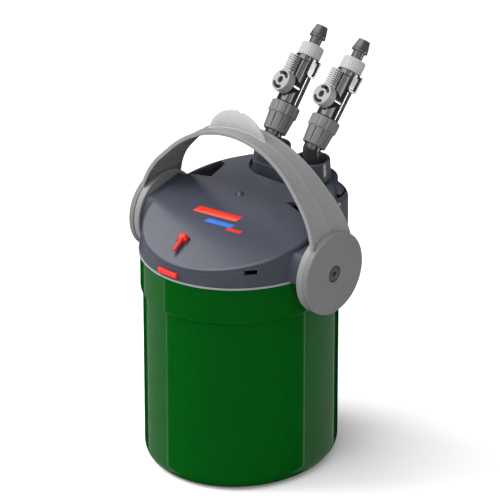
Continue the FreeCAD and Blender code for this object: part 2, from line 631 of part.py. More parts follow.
def make_bow():
    body = doc.addObject("PartDesign::Body", "bow_band")
    path = arch_path(body, "bow_path")
    edge = "bowHalf-bowThick"
    section = outline(body, "bow_section", "XY_Plane",
                      [("-bowHalf", "-bowWidth/2"), (f"-({edge})", "-bowWidth/2"),
                       (f"-({edge})", "bowWidth/2"), ("-bowHalf", "bowWidth/2")])
    pipe = body.newObject("PartDesign::AdditivePipe", "bow_sweep")
    pipe.Profile = section
    pipe.Spine = (path, [f"Edge{index}" for index in range(1, 8)])
    body.Tip = pipe
    trims = []
    for side, sign in (("front", "-"), ("rear", "")):
        trim = doc.addObject("PartDesign::Body", f"bow_trim_{side}")
        shape = outline(trim, f"bow_trim_{side}_outline", "YZ_Plane",
                        [(f"{sign}armHalfWidth", "armTrim"), (f"{sign}crownHalfWidth", "bowTop"),
                         (f"{sign}crownHalfWidth", "bowTop+30"), (f"{sign}80", "bowTop+30"),
                         (f"{sign}80", "armTrim")])
        pad = trim.newObject("PartDesign::Pad", f"bow_trim_{side}_pad")
        pad.Profile = shape
        pad.Midplane = True
        bind(pad, Length="reachAll")
        trim.Tip = pad
        trims.append(trim)
    foot_trim = cut("foot_trim", box("foot_blank", "-reachAll/2", "reachAll/2", "-60", "60", "-5",
                                     "discRadius"),
                    cylinder_along("foot_round", "discRadius-0.4", ("-reachAll/2", 0, 0), "reachAll",
                                   AXIS_X),
                    box("foot_keep", "-reachAll/2", "reachAll/2", "-armHalfWidth", "armHalfWidth",
                        "discRadius-12", "discRadius+1"))
    feet = [cylinder_along(f"foot_{side}", "discRadius-0.4", (f"{sign}discInner", 0, 0),
                           "capInner-discInner", AXIS_X * direction)
            for side, sign, direction in (("left", "-", -1), ("right", "", 1))]
    band = cut("band_trimmed", body, *trims, foot_trim)
    seats = [cylinder_along(f"seat_{side}", "discRadius+0.2", (f"{sign}capInner", 0, 0), "20",
                            AXIS_X * direction)
             for side, sign, direction in (("left", "-", -1), ("right", "", 1))]
    bore = cylinder_along("bow_bore", "stubRadius+runGap", ("-reachAll/2", 0, 0), "reachAll", AXIS_X)
    fin_disc = cylinder_along("fin_disc", "finRadius", ("finX", "-finThick/2", "finLevel"),
                              "finThick", AXIS_Y)
    fin_cut = cylinder_along("fin_cut", "crownRadius-2", (0, "-10", "bowTop-crownRadius"), "20",
                             AXIS_Y)
    fin = cut("fin", fin_disc, fin_cut)
    whole = fuse("bow_whole", band, fin, *feet)
    part("handle_bow", cut("handle_bow", whole, bore, *seats), handle_place())


def make_pivot_discs():
    for side, direction in (("left", -1), ("right", 1)):
        disc = turned(f"{side}_pivot_disc", [("stubRadius+runGap", "capInner+0.1"),
                                             ("discRadius", "capInner+0.1"),
                                             ("discRadius", "discOuter-0.8"),
                                             ("discRadius-0.8", "discOuter"),
                                             ("screwHeadRadius+0.5", "discOuter"),
                                             ("screwHeadRadius+0.5", "stubEnd+0.1"),
                                             ("stubRadius+runGap", "stubEnd+0.1")])
        part(f"{side}_pivot_disc", disc, handle_place().multiply(Place(Vector(), Turn(
            AXIS_Z, AXIS_X * direction))))
        screw = turned(f"{side}_pivot_screw", [(0, "stubEnd-11"), ("screwRadius-0.1", "stubEnd-11"),
                                               ("screwRadius-0.1", "stubEnd+0.4"),
                                               ("screwHeadRadius", "stubEnd+0.4"),
                                               ("screwHeadRadius", "discOuter-1"),
                                               ("screwHeadRadius-0.8", "discOuter-0.3"),
                                               (2.2, "discOuter-0.3"), (2.2, "discOuter-2.4"),
                                               (0, "discOuter-2.4")])
        spot = Place(Vector(0, value("pivotY"), value("pivotLevel")),
                     Turn(AXIS_Z, AXIS_X * direction))
        part(f"{side}_pivot_screw", screw, spot)


# ---- taps ------------------------------------------------------------------------------

def tap_place(sign):
    """The tap's own frame: origin at the elbow, +Z along the tap, knob towards -Y."""
    tilt = Turn(AXIS_Y, sign * value("tapSplay")).multiply(Turn(AXIS_X, -value("tapLean")))
    turn = tilt.multiply(Turn(AXIS_Z, -value("tapTurn")))
    return Place(Vector(sign * value("portX"), value("portY"), value("elbowLevel")), turn)


def make_elbow(name, sign, place):
    port = "portX" if sign > 0 else "-portX"
    foot = cylinder(f"{name}_elbow_foot", "pipeRadius", "turretTop-21.5", "elbowLevel", port, "portY")
    foot_bore = cylinder(f"{name}_elbow_foot_bore", "pipeBore", "turretTop-23", "elbowLevel", port,
                         "portY")
    flange = cylinder(f"{name}_elbow_collar", "pipeRadius+2.6", "turretTop-cupDepth",
                      "turretTop-cupDepth+2.6", port, "portY")
    knee = primitive("Sphere", f"{name}_elbow_knee", (port, "portY", "elbowLevel"),
                     Radius="pipeRadius")
    knee_bore = primitive("Sphere", f"{name}_elbow_knee_bore", (port, "portY", "elbowLevel"),
                          Radius="pipeBore")
    pipe = turned(f"{name}_elbow_pipe", [(0, 0), ("pipeRadius", 0), ("pipeRadius", 10.5),
                                         ("pipeFlange", 10.5), ("pipeFlange", 14.5), (0, 14.5)])
    pipe.Placement = place
    bore = turned(f"{name}_elbow_bore", [(0, 0), ("pipeBore", 0), ("pipeBore", 16), (0, 16)])
    bore.Placement = place
    solid = fuse(f"{name}_elbow_solid", foot, flange, knee, pipe)
    part(f"{name}_elbow", cut(f"{name}_elbow", solid, foot_bore, knee_bore, bore))
    part(f"{name}_elbow_seal", tube(f"{name}_elbow_seal", "pipeRadius+3.6", "pipeRadius+2.7",
                                    "turretTop-cupDepth+0.1", "turretTop-cupDepth+2", port, "portY"))


def make_tap(name, sign):
    place = tap_place(sign)
    make_elbow(name, sign, place)
    seal = turned(f"{name}_union_seal", [("pipeBore", 14.6), ("spigotRadius", 14.6),
                                         ("spigotRadius", 16.4), ("pipeBore", 16.4)])
    part(f"{name}_union_seal", seal, place)
    nut = turned(f"{name}_lower_nut", [("pipeRadius+gap", "nutLow"), ("nutLowRadius-0.8", "nutLow"),
                                       ("nutLowRadius", "nutLow+0.8"), ("nutMidRadius", "nutStep"),
                                       ("nutRadius", "nutStep+1.2"), ("nutRadius", "nutTop-0.8"),
                                       ("nutRadius-0.8", "nutTop"), ("nutCavity", "nutTop"),
                                       ("nutCavity", "nutLow+6.8"), ("pipeRadius+gap", "nutLow+6.8")])
    flutes(nut, f"{name}_nut_slots", 10, "Box", ("nutLowRadius-0.9", -0.6, "nutLow+1.5"),
           Length="3", Width="1.2", Height="nutStep-nutLow-1.5")
    flutes(nut, f"{name}_nut_grips", 10, "Cylinder", ("nutRadius+1.9", 0, "nutStep"),
           Radius="2.5", Height="nutTop-nutStep+1")
    part(f"{name}_lower_nut", nut, place)
    make_tap_body(name, place)
    ball = cut(f"{name}_ball_bored", primitive("Sphere", f"{name}_ball_blank", (0, 0, "knobLevel"),
                                               Radius="ballRadius"),
               cylinder(f"{name}_ball_bore", "pipeBore", "knobLevel-12", "knobLevel+12"))
    stem = cylinder_along(f"{name}_stem", "stemRadius", (0, "-ballRadius+1.4", "knobLevel"),
                          "knobBack+4-ballRadius+1.4", -AXIS_Y)
    part(f"{name}_ball", fuse(f"{name}_ball", ball, stem), place)
    make_knob(name, place)
    make_clip(name, place)
    make_hose_end(name, place)


def make_tap_body(name, place):
    barrel = turned(f"{name}_barrel", [(0, 16.5), ("spigotRadius", 16.5),
                                       ("spigotRadius", "nutTop+gap"), ("bodyRadius-0.6", "nutTop+gap"),
                                       ("bodyRadius", "nutTop+gap+0.8"), ("bodyRadius", "bodyTop-5"),
                                       ("bodyRadius+0.6", "bodyTop-4.4"),
                                       ("bodyRadius+0.6", "bodyTop-0.6"), ("bodyRadius", "bodyTop"),
                                       (8.1, "bodyTop"), (8.1, "bodyTop+4.2"), (0, "bodyTop+4.2")])
    boss = cylinder_along(f"{name}_boss", "bossAround", (0, 0, "knobLevel"), "knobBack-gap", -AXIS_Y)
    pad = rounded(f"{name}_clip_pad", box(f"{name}_clip_pad_blank", 0, "clipReach-1.6", "-clipWide/2+2",
                                          "clipWide/2-2", "clipLevel-clipLong/2+2",
                                          "clipLevel+clipLong/2-2"), "2.4",
                  lambda bounds: bounds.XLength > 5)
    bore = cylinder(f"{name}_through", "pipeBore", 10, 90)
    cavity = primitive("Sphere", f"{name}_cavity", (0, 0, "knobLevel"), Radius="ballRadius+gap")
    stem_hole = cylinder_along(f"{name}_stem_hole", "stemRadius+gap", (0, 0, "knobLevel"), "20",
                               -AXIS_Y)
    solid = fuse(f"{name}_tap_solid", barrel, boss, pad)
    part(f"{name}_tap_body", cut(f"{name}_tap_body", solid, bore, cavity, stem_hole), place)


def make_knob(name, place):
    """The knob disc with its two arc slots and the ribbed lever that points along the tap."""
    disc = cylinder_along(f"{name}_knob_disc", "knobRadius", (0, "-knobBack", "knobLevel"),
                          "knobFace-knobBack", -AXIS_Y)
    soft = rounded(f"{name}_knob_soft", disc, "0.9",
                   lambda bounds: bounds.YMax < value("-knobFace") + 0.1)
    paddle = box(f"{name}_paddle", "-leverHalf", "leverHalf", "-leverFront", "-leverBack", "knobLevel",
                 "leverTop")
    paddle_soft = rounded(f"{name}_paddle_soft", paddle, "1",
                          lambda bounds: bounds.ZMin > value("leverTop") - 0.1)
    ribs = []
    for index in range(7):
        level = f"knobLevel+knobRadius+1.6+{index}*2"
        for side, low, high in (("a", "-leverHalf-1", "-leverSpine"), ("b", "leverSpine",
                                                                        "leverHalf+1")):
            ribs.append(box(f"{name}_rib{index}{side}", low, high, "-leverFront-1", "-leverBack+1",
                            level, f"{level}+0.8"))
    slots = []
    for index, spin in enumerate((20, 200)):
        ring = cut(f"{name}_arc{index}", cylinder(f"{name}_arc_outer{index}", "knobRadius-1.7", 0, 8),
                   cylinder(f"{name}_arc_inner{index}", "knobRadius-4.9", -1, 9))
        wedge = doc.addObject("Part::Cylinder", f"{name}_wedge{index}")
        bind(wedge, Radius="knobRadius+2", Height="8")
        wedge.Angle = 105
        wedge.Placement = Place(Vector(), Turn(AXIS_Z, spin))
        slot = common(f"{name}_arc_slot{index}", ring, wedge)
        slot.Placement = Place(Vector(0, value("-knobFace+arcDeep"), value("knobLevel")),
                               Turn(AXIS_Z, -AXIS_Y))
        slots.append(slot)
    stem_seat = cylinder_along(f"{name}_stem_seat", "stemRadius+0.05", (0, "-knobBack+1", "knobLevel"),
                               "5.3", -AXIS_Y)
    hole = cylinder_along(f"{name}_knob_hole", "3.2", (0, "-knobFace+2.6", "knobLevel"), "6", -AXIS_Y)
    solid = fuse(f"{name}_knob_solid", soft, paddle_soft)
    part(f"{name}_knob", cut(f"{name}_knob", solid, stem_seat, hole, *slots, *ribs), place)
    screw = turned(f"{name}_knob_screw", [(0, 0), (3, 0), (3, 1.2), (1.4, 1.6), (1.2, 0.6), (0, 0.6)])
    part(f"{name}_knob_screw", screw, place.multiply(Place(
        Vector(0, value("-knobFace") + 2.5, value("knobLevel")), Turn(AXIS_Z, -AXIS_Y))))


def make_clip(name, place):
    """The U-shaped clip round the oblong pad on the tap's side."""
    outside = box(f"{name}_clip_outside", "bodyRadius-1", "clipReach", "-clipWide/2", "clipWide/2",
                  "clipLevel-clipLong/2", "clipLevel+clipLong/2")
    soft = rounded(f"{name}_clip_soft", outside, "3.2",
                   lambda bounds: bounds.XLength > 2 and bounds.ZMax < value("clipLevel"))
    inside = box(f"{name}_clip_inside", "bodyRadius-3", "clipReach+1", "-clipWide/2+1.9",
                 "clipWide/2-1.9", "clipLevel-clipLong/2+1.9", "clipLevel+clipLong/2+1")
    inside_soft = rounded(f"{name}_clip_inside_soft", inside, "2.3",
                          lambda bounds: bounds.XLength > 2 and bounds.ZMax < value("clipLevel"))
    barrel = cylinder(f"{name}_clip_round", "bodyRadius+0.7", 40, 90)
    part(f"{name}_clip", cut(f"{name}_clip", soft, inside_soft, barrel), place)


def make_hose_end(name, place):
    seal = turned(f"{name}_hose_seal", [(4, "bodyTop+4.3"), (7.8, "bodyTop+4.3"),
                                        (7.8, "bodyTop+5.6"), (4, "bodyTop+5.6")])
    part(f"{name}_hose_seal", seal, place)
    nut = turned(f"{name}_upper_nut", [(8.4, "bodyTop+gap"), ("topNutRadius-0.5", "bodyTop+gap"),
                                       ("topNutRadius", "bodyTop+gap+0.6"),
                                       ("topNutRadius", "topNutTop-1"),
                                       ("topNutRadius-1", "topNutTop"),
                                       ("barbNeck+gap", "topNutTop"),
                                       ("barbNeck+gap", "bodyTop+8.6"), (8.4, "bodyTop+8.6")])
    flutes(nut, f"{name}_nut_ribs", 28, "Box", ("topNutRadius-0.5", -0.45, "bodyTop"),
           Length="2", Width="0.9", Height="topNutTop-bodyTop-1")
    part(f"{name}_upper_nut", nut, place)
    barb = turned(f"{name}_hose_barb", [("barbBore", "bodyTop+5.7"), (8.1, "bodyTop+5.7"),
                                        (8.1, "bodyTop+8.3"), ("barbNeck", "bodyTop+8.3"),
                                        ("barbNeck", "barbLow"), ("barbWide", "barbLow+0.3"),
                                        ("barbWide", "barbLow+2"), ("barbWide-0.7", "barbLow+2.3"),
                                        ("barbWide-0.7", "barbLow+2.7"), ("barbWide-0.2", "barbLow+3"),
                                        ("barbTipRadius", "barbTip"), ("barbBore", "barbTip")])
    part(f"{name}_hose_barb", barb, place)


# ---- build -----------------------------------------------------------------------------

make_canister()
make_riser()
make_basket("lower_basket", "lowerBasketBase", "lowerBasketTop")
make_filling("ceramic_media", "lowerBasketBase+basketWall+gap", "lowerBasketTop-padThick-2")
make_filling("coarse_foam_pad", "lowerBasketTop-padThick-1.7", "lowerBasketTop-1")
make_basket("upper_basket", "(lowerBasketTop+basketStep)", "upperBasketTop")
make_filling("bio_media", "lowerBasketTop+basketStep+basketWall+gap", "upperBasketTop-padThick-2")
make_filling("fine_fleece_pad", "upperBasketTop-padThick-1.7", "upperBasketTop-1")
make_screen()
head_drum = drum("drum", "rimLevel+lipHigh+gap", 0)
make_housing(head_drum)
make_cover(head_drum)
make_lip()
make_head_base()
make_gasket()
make_base_screws()
make_pump()
make_gland()
make_front_pieces()
make_bow()
make_pivot_discs()
make_tap("inlet", -1)
make_tap("outlet", 1)
doc.recompute()

failed = [item.Name for item in doc.Objects if "Invalid" in item.State or "Error" in item.State]
failed += [item.Label for item in parts if item.Shape.isNull() or not item.Shape.isValid()]
if failed:
    raise RuntimeError("these objects did not build: " + ", ".join(failed))
os.makedirs("parts", exist_ok=True)
for item in parts:
    item.Shape.exportStep(f"parts/{item.Label}.step")
    print(item.Label, len(item.Shape.Solids), round(item.Shape.Volume))
print(len(parts), "parts")
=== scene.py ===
"""A canister filter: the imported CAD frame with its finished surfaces, in metres."""

import math

import bmesh
import bpy
from mathutils import Matrix, Vector


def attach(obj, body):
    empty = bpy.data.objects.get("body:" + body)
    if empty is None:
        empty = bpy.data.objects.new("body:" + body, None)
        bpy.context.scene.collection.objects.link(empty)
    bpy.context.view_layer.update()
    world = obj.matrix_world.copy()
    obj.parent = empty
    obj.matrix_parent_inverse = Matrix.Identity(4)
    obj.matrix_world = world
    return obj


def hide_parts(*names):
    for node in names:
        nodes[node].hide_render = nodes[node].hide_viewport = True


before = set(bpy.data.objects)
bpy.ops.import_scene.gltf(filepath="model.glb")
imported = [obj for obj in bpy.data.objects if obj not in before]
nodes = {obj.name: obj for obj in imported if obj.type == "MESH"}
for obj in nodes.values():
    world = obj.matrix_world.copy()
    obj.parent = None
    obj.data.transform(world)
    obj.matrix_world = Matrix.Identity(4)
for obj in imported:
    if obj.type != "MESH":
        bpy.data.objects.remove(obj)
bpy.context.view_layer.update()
scene = bpy.context.scene
MM = 0.001


# ---- materials -------------------------------------------------------------------------

class Graph:
    """A procedural material that is built node by node round one Principled shader."""

    def __init__(self, name, roughness=0.5, specular=0.5, metallic=0.0, coat=0.0,
                 coat_roughness=0.1, subsurface=0.0):
        self.material = bpy.data.materials.new(name)
        self.material.use_nodes = True
        self.tree = self.material.node_tree
        self.shader = self.tree.nodes["Principled BSDF"]
        self.set("Roughness", roughness)
        self.set("Specular IOR Level", specular)
        self.set("Metallic", metallic)
        self.set("Coat Weight", coat)
        self.set("Coat Roughness", coat_roughness)
        self.set("Subsurface Weight", subsurface)
        self.place = self.node("TexCoord").outputs["Object"]

    def set(self, socket, value):
        self.shader.inputs[socket].default_value = value

    def node(self, kind, **values):
        made = self.tree.nodes.new("ShaderNode" + kind)
        for key, value in values.items():
            setattr(made, key, value)
        return made

    def link(self, source, target):
        self.tree.links.new(source, target)

    def noise(self, size_mm, detail=3, roughness=0.55, stretch=(1, 1, 1)):
        """A noise value whose blotches are about size_mm across."""
        moved = self.node("Mapping")
        self.link(self.place, moved.inputs["Vector"])
        moved.inputs["Scale"].default_value = stretch
        made = self.node("TexNoise")
        made.inputs["Scale"].default_value = 1 / (size_mm * MM)
        made.inputs["Detail"].default_value = detail
        made.inputs["Roughness"].default_value = roughness
        self.link(moved.outputs["Vector"], made.inputs["Vector"])
        return made.outputs["Fac"]

    def cells(self, size_mm, feature="F1"):
        made = self.node("TexVoronoi", feature=feature)
        made.inputs["Scale"].default_value = 1 / (size_mm * MM)
        self.link(self.place, made.inputs["Vector"])
        return made.outputs["Distance"]

    def ramp(self, value, *stops):
        """A colour or grey ramp over a value: stops are (position, colour)."""
        made = self.node("ValToRGB")
        stripes = made.color_ramp.elements
        while len(stripes) < len(stops):
            stripes.new(0.5)
        for stripe, (position, colour) in zip(stripes, stops):
            stripe.position = position
            stripe.color = (*colour, 1)
        self.link(value, made.inputs["Fac"])
        return made.outputs["Color"]

    def spread(self, value, low, high):
        made = self.node("MapRange")
        made.inputs["To Min"].default_value = low
        made.inputs["To Max"].default_value = high
        self.link(value, made.inputs["Value"])
        return made.outputs["Result"]

    def mix(self, share, first, second):
        made = self.node("Mix", data_type="RGBA")
        for source, socket in ((share, made.inputs["Factor"]), (first, made.inputs["A"]),
                               (second, made.inputs["B"])):
            if isinstance(source, tuple):
                socket.default_value = (*source, 1)
            elif isinstance(source, float):
                socket.default_value = source
            else:
                self.link(source, socket)
        return made.outputs["Result"]

    def edges(self, radius_mm, gain):
        """How near a point is to a sharp edge, from 0 to 1, and the normal rounded over it."""
        bevel = self.node("Bevel", samples=4)
        bevel.inputs["Radius"].default_value = radius_mm * MM
        geometry = self.node("NewGeometry")
        dot = self.node("VectorMath", operation="DOT_PRODUCT")
        self.link(bevel.outputs["Normal"], dot.inputs[0])
        self.link(geometry.outputs["Normal"], dot.inputs[1])
        made = self.node("MapRange")
        made.inputs["From Min"].default_value = 1.0
        made.inputs["From Max"].default_value = 1.0 - 1.0 / gain
        self.link(dot.outputs["Value"], made.inputs["Value"])
        return made.outputs["Result"], bevel.outputs["Normal"]

    def bump(self, height, depth_mm, strength=1.0, normal=None):
        made = self.node("Bump")
        made.inputs["Distance"].default_value = depth_mm * MM
        made.inputs["Strength"].default_value = strength
        self.link(height, made.inputs["Height"])
        if normal is not None:
            self.link(normal, made.inputs["Normal"])
        return made.outputs["Normal"]

    def finish(self, colour, roughness, normal):
        self.link(colour, self.shader.inputs["Base Color"])
        self.link(roughness, self.shader.inputs["Roughness"])
        self.link(normal, self.shader.inputs["Normal"])
        return self.material


def shade(colour, share):
    return tuple(min(1.0, part * share) for part in colour)


def moulded(name, colour, rough, grain_mm=0.5, grain_depth=0.03, mottle=0.08, wear=1.35,
            edge_mm=0.5, **shader):
    """Moulded plastic: fine grain, slow mottling, paler worn edges, uneven gloss."""
    graph = Graph(name, rough, **shader)
    slow = graph.noise(22, 2)
    fine = graph.noise(grain_mm, 4)
    scuffs = graph.noise(3.2, 5, 0.7)
    body = graph.ramp(slow, (0.3, shade(colour, 1 - mottle)), (0.7, shade(colour, 1 + mottle)))
    flecked = graph.mix(graph.spread(fine, 0.0, 0.35), body, shade(colour, 1 - 1.6 * mottle))
    edge, rounded = graph.edges(edge_mm, 9)
    worn = graph.mix(edge, flecked, shade(colour, wear))
    gloss = graph.spread(scuffs, rough * 0.82, min(1.0, rough * 1.25))
    return graph.finish(worn, gloss, graph.bump(fine, grain_depth, 1.0, rounded))


def pebbled(name, colour, rough, cell_mm=0.9, depth=0.09):
    """Spark-eroded plastic: small rounded pebbles, with painted shade darkening the hollows
    between them.
    """
    graph = Graph(name, rough, specular=0.4)
    cell = graph.cells(cell_mm, "SMOOTH_F1")
    fine = graph.noise(cell_mm * 0.6, 4)
    slow = graph.noise(18, 2)
    body = graph.ramp(slow, (0.3, shade(colour, 0.93)), (0.7, shade(colour, 1.07)))
    # painted shade: the colour darkens to 0.62 in the hollows between the pebbles
    hollow_shade = graph.ramp(cell, (0.15, shade(colour, 1.1)), (0.75, shade(colour, 0.62)))
    tone = graph.mix(0.5, body, hollow_shade)
    edge, rounded = graph.edges(0.8, 9)
    worn = graph.mix(edge, tone, shade(colour, 1.45))
    height = graph.node("Math", operation="SUBTRACT")
    graph.link(fine, height.inputs[0])
    graph.link(cell, height.inputs[1])
    gloss = graph.spread(fine, rough * 0.85, min(1.0, rough * 1.2))
    return graph.finish(worn, gloss, graph.bump(height.outputs[0], depth, 1.0, rounded))


def brushed(name, colour, rough, **shader):
    """Ground metal with fine scratches along one way."""
    graph = Graph(name, rough, metallic=1.0, **shader)
    lines = graph.noise(0.35, 4, 0.6, (1, 12, 12))
    slow = graph.noise(9, 3)
    body = graph.ramp(slow, (0.3, shade(colour, 0.9)), (0.7, shade(colour, 1.05)))
    tone = graph.mix(graph.spread(lines, 0.0, 0.4), body, shade(colour, 0.75))
    edge, rounded = graph.edges(0.25, 8)
    return graph.finish(graph.mix(edge, tone, shade(colour, 1.2)),
                        graph.spread(lines, rough * 0.7, rough * 1.3),
                        graph.bump(lines, 0.01, 1.0, rounded))


def porous(name, light, pore_shade, cell_mm, depth, rough=0.9):
    """Open foam, fleece or sintered media: bright walls round pores darkened with painted shade.
    """
    graph = Graph(name, rough, specular=0.25)
    pores = graph.cells(cell_mm, "F1")
    fluff = graph.noise(cell_mm * 0.5, 5, 0.7)
    slow = graph.noise(14, 3)
    # painted shade: the pores darken towards the given pore colour
    walls = graph.ramp(pores, (0.12, pore_shade), (0.5, light))
    stained = graph.mix(graph.spread(slow, 0.0, 0.5), walls, shade(light, 0.72))
    height = graph.node("Math", operation="ADD")
    graph.link(pores, height.inputs[0])
    graph.link(fluff, height.inputs[1])
    return graph.finish(stained, graph.spread(fluff, rough * 0.9, 1.0),
                        graph.bump(height.outputs[0], depth, 1.0))


GREEN = (0.0008, 0.060, 0.0042)
SLATE = (0.043, 0.046, 0.066)
ANTHRACITE = (0.044, 0.050, 0.064)
HANDLE = (0.19, 0.19, 0.192)

finish = {
    "green": moulded("green_shell", GREEN, 0.10, 0.8, 0.004, 0.035, 1.5, 0.6, specular=0.55,
                     coat=0.25, coat_roughness=0.05),
    "slate": moulded("cover_slate", SLATE, 0.30, 0.45, 0.02, 0.07, 1.5, 0.9, specular=0.55,
                     coat=0.2, coat_roughness=0.3),
    "anthracite": moulded("anthracite", ANTHRACITE, 0.32, 0.5, 0.02, 0.08, 1.6, 0.6,
                          specular=0.55, coat=0.2, coat_roughness=0.25),
    "lip": moulded("lip_grey", (0.22, 0.235, 0.25), 0.35, 0.5, 0.02, 0.06, 1.4, 0.4),
    "black": moulded("tap_black", (0.016, 0.017, 0.019), 0.16, 0.6, 0.008, 0.1, 1.8, 0.5,
                     specular=0.8, coat=0.7, coat_roughness=0.08),
    "inner": moulded("inner_black", (0.016, 0.017, 0.019), 0.45, 0.6, 0.02, 0.1),
    "inner_grey": moulded("inner_grey", (0.11, 0.115, 0.12), 0.5, 0.7, 0.02, 0.08),
    "handle": moulded("handle_grey", HANDLE, 0.42, 0.4, 0.02, 0.05, 1.45, 0.7, specular=0.45),
    "pebble": pebbled("handle_pebbled", (0.36, 0.36, 0.36), 0.5),
    "disc": pebbled("disc_pebbled", (0.145, 0.145, 0.146), 0.48, 0.7, 0.06),
    "pipe": moulded("pipe_brown_grey", (0.026, 0.025, 0.024), 0.24, 0.7, 0.01, 0.08, 1.6, 0.5,
                    specular=0.5, coat=0.1, coat_roughness=0.12),
    "nut": moulded("nut_grey", (0.115, 0.115, 0.117), 0.36, 0.4, 0.025, 0.07, 1.9, 0.6),
    "knob": moulded("knob_grey", (0.24, 0.24, 0.245), 0.35, 0.5, 0.02, 0.06, 1.6, 0.6),
    "pale": moulded("pale_grey", (0.38, 0.38, 0.385), 0.4, 0.5, 0.02, 0.05, 1.35, 0.4),
    "barb": moulded("barb_grey", (0.055, 0.055, 0.057), 0.2, 0.5, 0.015, 0.08, 1.7, 0.4),
    "red": moulded("red", (0.62, 0.022, 0.010), 0.34, 0.5, 0.015, 0.06, 1.4, 0.4, specular=0.5),
    "blue": moulded("blue", (0.030, 0.13, 0.50), 0.4, 0.4, 0.012, 0.06, 1.3, 0.3),
    "screw": moulded("screw_dark", (0.045, 0.046, 0.05), 0.35, 0.4, 0.02, 0.1, 2.0, 0.4),
    "rubber": moulded("rubber", (0.018, 0.018, 0.018), 0.7, 0.6, 0.03, 0.12, 1.3, 0.4),
    "steel": brushed("steel", (0.55, 0.56, 0.58), 0.22),
    "resin": moulded("resin", (0.020, 0.028, 0.040), 0.3, 1.2, 0.02, 0.15),
    "ceramic_white": moulded("ceramic_white", (0.72, 0.71, 0.68), 0.35, 0.5, 0.02, 0.04, 1.1),
    "rotor": moulded("rotor_black", (0.030, 0.030, 0.033), 0.5, 0.5, 0.03, 0.12),
    "blue_foam": porous("blue_foam", (0.045, 0.14, 0.34), (0.008, 0.03, 0.09), 1.6, 0.6),
    "fleece": porous("white_fleece", (0.80, 0.80, 0.78), (0.50, 0.50, 0.49), 0.8, 0.35),
    "ceramic_media": porous("ceramic_media", (0.66, 0.58, 0.47), (0.30, 0.25, 0.19), 5.0, 1.4),
    "bio_media": porous("bio_media", (0.62, 0.30, 0.18), (0.28, 0.12, 0.07), 4.0, 1.2),
}

TAPS = ("inlet", "outlet")
NODE_FINISH = {
    "canister": "green", "riser_tube": "inner_grey", "lower_basket": "inner_grey",
    "upper_basket": "inner_grey", "top_screen": "inner_grey", "ceramic_media": "ceramic_media",
    "bio_media": "bio_media", "coarse_foam_pad": "blue_foam", "fine_fleece_pad": "fleece",
    "head_housing": "anthracite", "top_cover": "slate", "skirt_lip": "lip", "head_base": "inner",
    "canister_gasket": "rubber", "base_screws": "steel", "stator_block": "resin",
    "impeller_rotor": "rotor", "rotor_shaft": "ceramic_white", "upper_shaft_bush": "rubber",
    "lower_shaft_bush": "rubber", "impeller_cover": "inner", "cable_gland": "rubber",
    "catch_button": "red", "vent_lever": "red", "cover_button": "slate",
    "handle_bow": "handle", "left_pivot_disc": "disc", "right_pivot_disc": "disc",
    "left_pivot_screw": "screw", "right_pivot_screw": "screw",
}
for tap in TAPS:
    for piece, look in (("elbow", "pipe"), ("elbow_seal", "rubber"), ("union_seal", "rubber"),
                        ("lower_nut", "nut"), ("tap_body", "black"), ("ball", "pale"),
                        ("knob", "knob"), ("knob_screw", "inner"), ("clip", "black"),
                        ("hose_seal", "rubber"), ("upper_nut", "pale"), ("hose_barb", "barb")):
        NODE_FINISH[f"{tap}_{piece}"] = look

for name, look in NODE_FINISH.items():
    slots = nodes[name].data.materials
    slots.clear()
    slots.append(finish[look])


# ---- mesh helpers ----------------------------------------------------------------------

def piece(name, points, faces, body, slot, materials, face_looks=None, replaced=()):
    """One smooth-shaded mesh piece, in metres, that rides on a CAD body."""
    mesh = bpy.data.meshes.new(name)
    mesh.from_pydata([tuple(point) for point in points], [], faces)
    for look in materials:
        mesh.materials.append(finish[look])
    for index, look in enumerate(face_looks or ()):
        mesh.polygons[index].material_index = look
    clean = bmesh.new()
    clean.from_mesh(mesh)
    bmesh.ops.remove_doubles(clean, verts=clean.verts, dist=1e-6)
    bmesh.ops.recalc_face_normals(clean, faces=clean.faces)
    clean.to_mesh(mesh)
    clean.free()
    mesh.shade_smooth()
    mesh.set_sharp_from_angle(angle=math.radians(34))
    made = bpy.data.objects.new(name, mesh)
    scene.collection.objects.link(made)
    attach(made, body)
    if replaced:
        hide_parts(*replaced)
    return made


def round_corners(outline, radius, steps=3):
    """The closed outline with each corner turned into a short arc."""
    rounded = []
    count = len(outline)
    for index, corner in enumerate(outline):
        corner = Vector(corner)
        before = Vector(outline[index - 1]) - corner
        after = Vector(outline[(index + 1) % count]) - corner
        cut = min(radius, before.length * 0.45, after.length * 0.45)
        start, end = corner + before.normalized() * cut, corner + after.normalized() * cut
        for step in range(steps + 1):
            share = step / steps
            rounded.append(start.lerp(corner, share).lerp(corner.lerp(end, share), share))
    return rounded


def grid_faces(rows, columns, closed=True):
    """Quads between rows of points, each row being one closed loop, with end caps."""
    faces = []
    for row in range(rows - 1):
        for column in range(columns if closed else columns - 1):
            right = (column + 1) % columns
            faces.append((row * columns + column, row * columns + right,
                          (row + 1) * columns + right, (row + 1) * columns + column))
    faces.append(tuple(range(columns))[::-1])
    faces.append(tuple((rows - 1) * columns + column for column in range(columns)))
    return faces


def ring_faces(steps, count):
    """Quads round a closed ring: steps rows of count points each."""
    return [(step * count + item, step * count + (item + 1) % count,
             (step + 1) % steps * count + (item + 1) % count, (step + 1) % steps * count + item)
            for step in range(steps) for item in range(count)]


# ---- handle: an arched channel with a fin, ribs beneath and round feet ------------------

